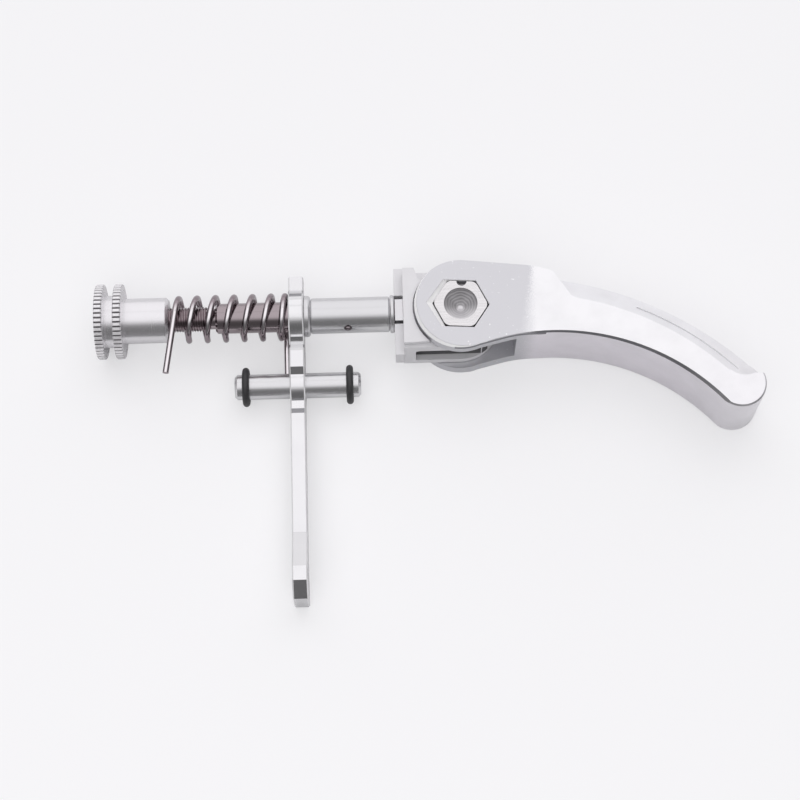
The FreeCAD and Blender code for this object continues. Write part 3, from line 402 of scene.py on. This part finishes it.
# Camshaft and its follower: ground steel, with a painted shade inside the housing. Turning rings
# round the cam's axis show in the dimple of the hexagon, which has a painted highlight toward the
# front and a painted glint at its tip. The hexagon's face is brushed.
def cam_steel(name, ring_dark):
    """Ground steel with turning rings round the cam's axis, a painted highlight and glint in the
    dimple, and painted shade inside the housing.
    """
    ring_bright = (0.92, 0.91, 0.92, 1)
    brushed_dark, brushed_light = (0.72, 0.71, 0.71, 1), (0.93, 0.92, 0.92, 1)
    enclosed_shade_tone = (0.20, 0.195, 0.20, 1)
    works_reach = 0.0032
    dimple_floor, dimple_rim = 0.0068, 0.0073
    dimple_reach = 0.0028
    dimple_tip = (0.013, -0.0013, 0.0055)
    tip_outer, tip_inner = 0.0009, 0.0004
    highlight_back, highlight_front, ring_share = 0.14, 0.72, 0.2
    dimple_rough, face_rough = 0.42, 0.24

    finish, tree, skin = new_finish(name)
    skin.inputs["Metallic"].default_value = 1
    place = add_node(tree, "TexCoord", {}).outputs
    apart = add_node(tree, "SeparateXYZ", {0: place["Object"]}).outputs
    inputs = {"Vector": place["Object"], "Location": cam_axis}
    centred = add_node(tree, "Mapping", inputs, vector_type="TEXTURE").outputs[0]
    inputs = {"Vector": centred, "Scale": 620, "Distortion": 3.5}
    wave = add_node(tree, "TexWave", inputs, wave_type="RINGS", rings_direction="Z")
    rings = wave.outputs["Fac"]

    front, back = cam_axis[1] - dimple_reach, cam_axis[1] + dimple_reach
    # Painted highlight: the dimple brighter toward the front, and a painted glint at its tip.
    front_highlight = remap(tree, apart["Y"], back, front, highlight_back, highlight_front)
    rings_and_highlight = compute(tree, "MULTIPLY_ADD", rings, ring_share, front_highlight)
    glint = remap(tree, distance(tree, place["Object"], dimple_tip), tip_outer, tip_inner)
    bright = compute(tree, "ADD", rings_and_highlight, glint, clamp=True)
    rings_and_highlight_tone = mix_colours(tree, bright, ring_dark, ring_bright)

    inputs = {"Vector": place["Object"], "Scale": (0.04, 1, 1)}
    stretched = add_node(tree, "Mapping", inputs).outputs[0]
    scratches = noise(tree, stretched, scale=3200, detail=3)
    brushed = mix_colours(tree, scratches, brushed_dark, brushed_light)
    depth = remap(tree, apart["Z"], dimple_floor, dimple_rim)
    shade = mix_colours(tree, depth, rings_and_highlight_tone, brushed)
    # Painted shade: the parts inside the housing are painted dark.
    inside = compute(tree, "COMPARE", apart["Z"], 0, works_reach)
    tree.links.new(mix_colours(tree, inside, shade, enclosed_shade_tone), skin.inputs["Base Color"])
    rough = remap(tree, depth, 0, 1, dimple_rough, face_rough)
    tree.links.new(rough, skin.inputs["Roughness"])
    add_bump(tree, skin, rings, strength=0.35, depth=0.00005)
    return finish


dimple_tone = (0.34, 0.33, 0.34, 1)
dress(cam_steel("cam_steel", dimple_tone), "camshaft", "cam_follower")

# Retaining screw under the lever: turned steel, a little paler than the camshaft's dimple,
# screwed up into the camshaft's lower end.
screw_tone = (0.55, 0.55, 0.56, 1)
dress(cam_steel("screw_steel", screw_tone), "retaining_screw")

# White table under the part. The camera sees it paler than it is lit, as in an overexposed
# studio shot, and polished metal sees it with a painted shade, dimmer, most of all in front of
# the bolt on both sides of the latch.
table_top, table_size = -0.0075, 4
paper_tone = (0.90, 0.90, 0.91, 1)
reflected_shade_tone, pale_tone = (0.16, 0.157, 0.163, 1), (1.0, 0.995, 1.01, 1)
near_share, front_share, pale_share = 0.20, 0.97, 0.48
front_from, front_to, front_side = -0.028, -0.034, 0.0
latch_middle, latch_half = -0.0194, 0.0035
bpy.ops.object.select_all(action="DESELECT")
bpy.ops.mesh.primitive_plane_add(size=table_size, location=(0, 0, table_top))
bpy.ops.object.transform_apply(location=True)
table = bpy.context.object
table.name = "table"
paper, tree, skin = new_finish("table_paper")
skin.inputs["Base Color"].default_value = paper_tone
skin.inputs["Roughness"].default_value = 0.9
skin.inputs["Specular IOR Level"].default_value = 0.1
place = add_node(tree, "TexCoord", {}).outputs
apart = add_node(tree, "SeparateXYZ", {0: place["Object"]}).outputs
beside = compute(tree, "LESS_THAN", apart["X"], front_side)
by_latch = compute(tree, "COMPARE", apart["X"], latch_middle, latch_half)
sides = compute(tree, "SUBTRACT", beside, by_latch, clamp=True)
front = compute(tree, "MULTIPLY", sides, remap(tree, apart["Y"], front_from, front_to))
dim_share = remap(tree, front, 0, 1, near_share, front_share)
path = add_node(tree, "LightPath", {}).outputs
surface = skin.outputs["BSDF"]
# Glossy rays see the painted shade in reflections; camera rays see the paler table.
for ray, share, colour in (
    ("Is Glossy Ray", dim_share, reflected_shade_tone),
    ("Is Camera Ray", pale_share, pale_tone),
):
    glow = add_node(tree, "Emission", {"Color": colour}).outputs["Emission"]
    amount = compute(tree, "MULTIPLY", path[ray], share)
    surface = add_node(tree, "MixShader", {"Fac": amount, 1: surface, 2: glow}).outputs["Shader"]
tree.links.new(surface, tree.nodes["Material Output"].inputs["Surface"])
table.data.materials.append(paper)

# Studio: a bright ceiling and back wall that meet in a thin darker seam, with dim ends and
# a dim room in front of the table below eye height.
wall_levels = (
    (0.0, 0.16), (0.10, 0.13), (0.20, 0.14), (0.27, 0.25), (0.33, 0.62), (0.40, 0.95),
    (0.5, 1.0), (0.636, 1.0), (0.655, 0.74), (0.674, 1.0), (1.0, 0.95),
)
wall_green, wall_blue = 0.985, 1.01
end_from, end_to, end_level = 0.55, 0.85, 0.16
lamp_aim = Vector((0, -0.02, 0))
sky = bpy.data.worlds.new("studio")
scene.world = sky
sky.use_nodes = True
tree = sky.node_tree
light = tree.nodes["Background"]
place = add_node(tree, "TexCoord", {}).outputs
apart = add_node(tree, "SeparateXYZ", {0: place["Generated"]}).outputs
toward = compute(tree, "MULTIPLY", apart["Y"], -1)
tilt = compute(tree, "DIVIDE", compute(tree, "ARCTAN2", apart["Z"], toward), math.pi)
stops = [
    (spot, (level, level * wall_green, level * wall_blue, 1)) for spot, level in wall_levels
]
walls = ramp_colours(tree, tilt, stops, "EASE")
aside = compute(tree, "ABSOLUTE", apart["X"])
ends = remap(tree, aside, end_from, end_to, 1, end_level, "SMOOTHSTEP")
tree.links.new(mix_colours(tree, 1, walls, ends, "MULTIPLY"), light.inputs["Color"])
light.inputs["Strength"].default_value = 1.0


def add_lamp(name, spot, wide, tall, energy):
    """Rectangle of light aimed at the part, which no polished metal shows."""
    bpy.ops.object.light_add(type="AREA", location=spot)
    lamp = bpy.context.object
    lamp.name = name
    lamp.data.shape = "RECTANGLE"
    lamp.data.size = wide
    lamp.data.size_y = tall
    lamp.data.energy = energy
    lamp.visible_glossy = False
    lamp.rotation_euler = (lamp_aim - lamp.location).to_track_quat("-Z", "Y").to_euler()
    return lamp


softbox = add_lamp("softbox", (0.02, 0.42, 0.62), wide=0.7, tall=0.45, energy=0.75)
fill = add_lamp("fill", (-0.12, -0.48, 0.55), wide=0.8, tall=0.5, energy=1.7)

# Camera at the photo's angle: high in front of the part and almost square to the bolt, with
# a long lens.
camera_spot = (-0.00353, -0.15624, 0.3966)
camera_aim = Vector((0.00976, 0.32872, -0.94438))
bpy.ops.object.camera_add(location=camera_spot)
camera = bpy.context.object
camera.data.lens = 96.0
camera.data.sensor_width = 36.0
camera.data.clip_start = 0.01
camera.rotation_euler = camera_aim.to_track_quat("-Z", "Y").to_euler()
scene.camera = camera
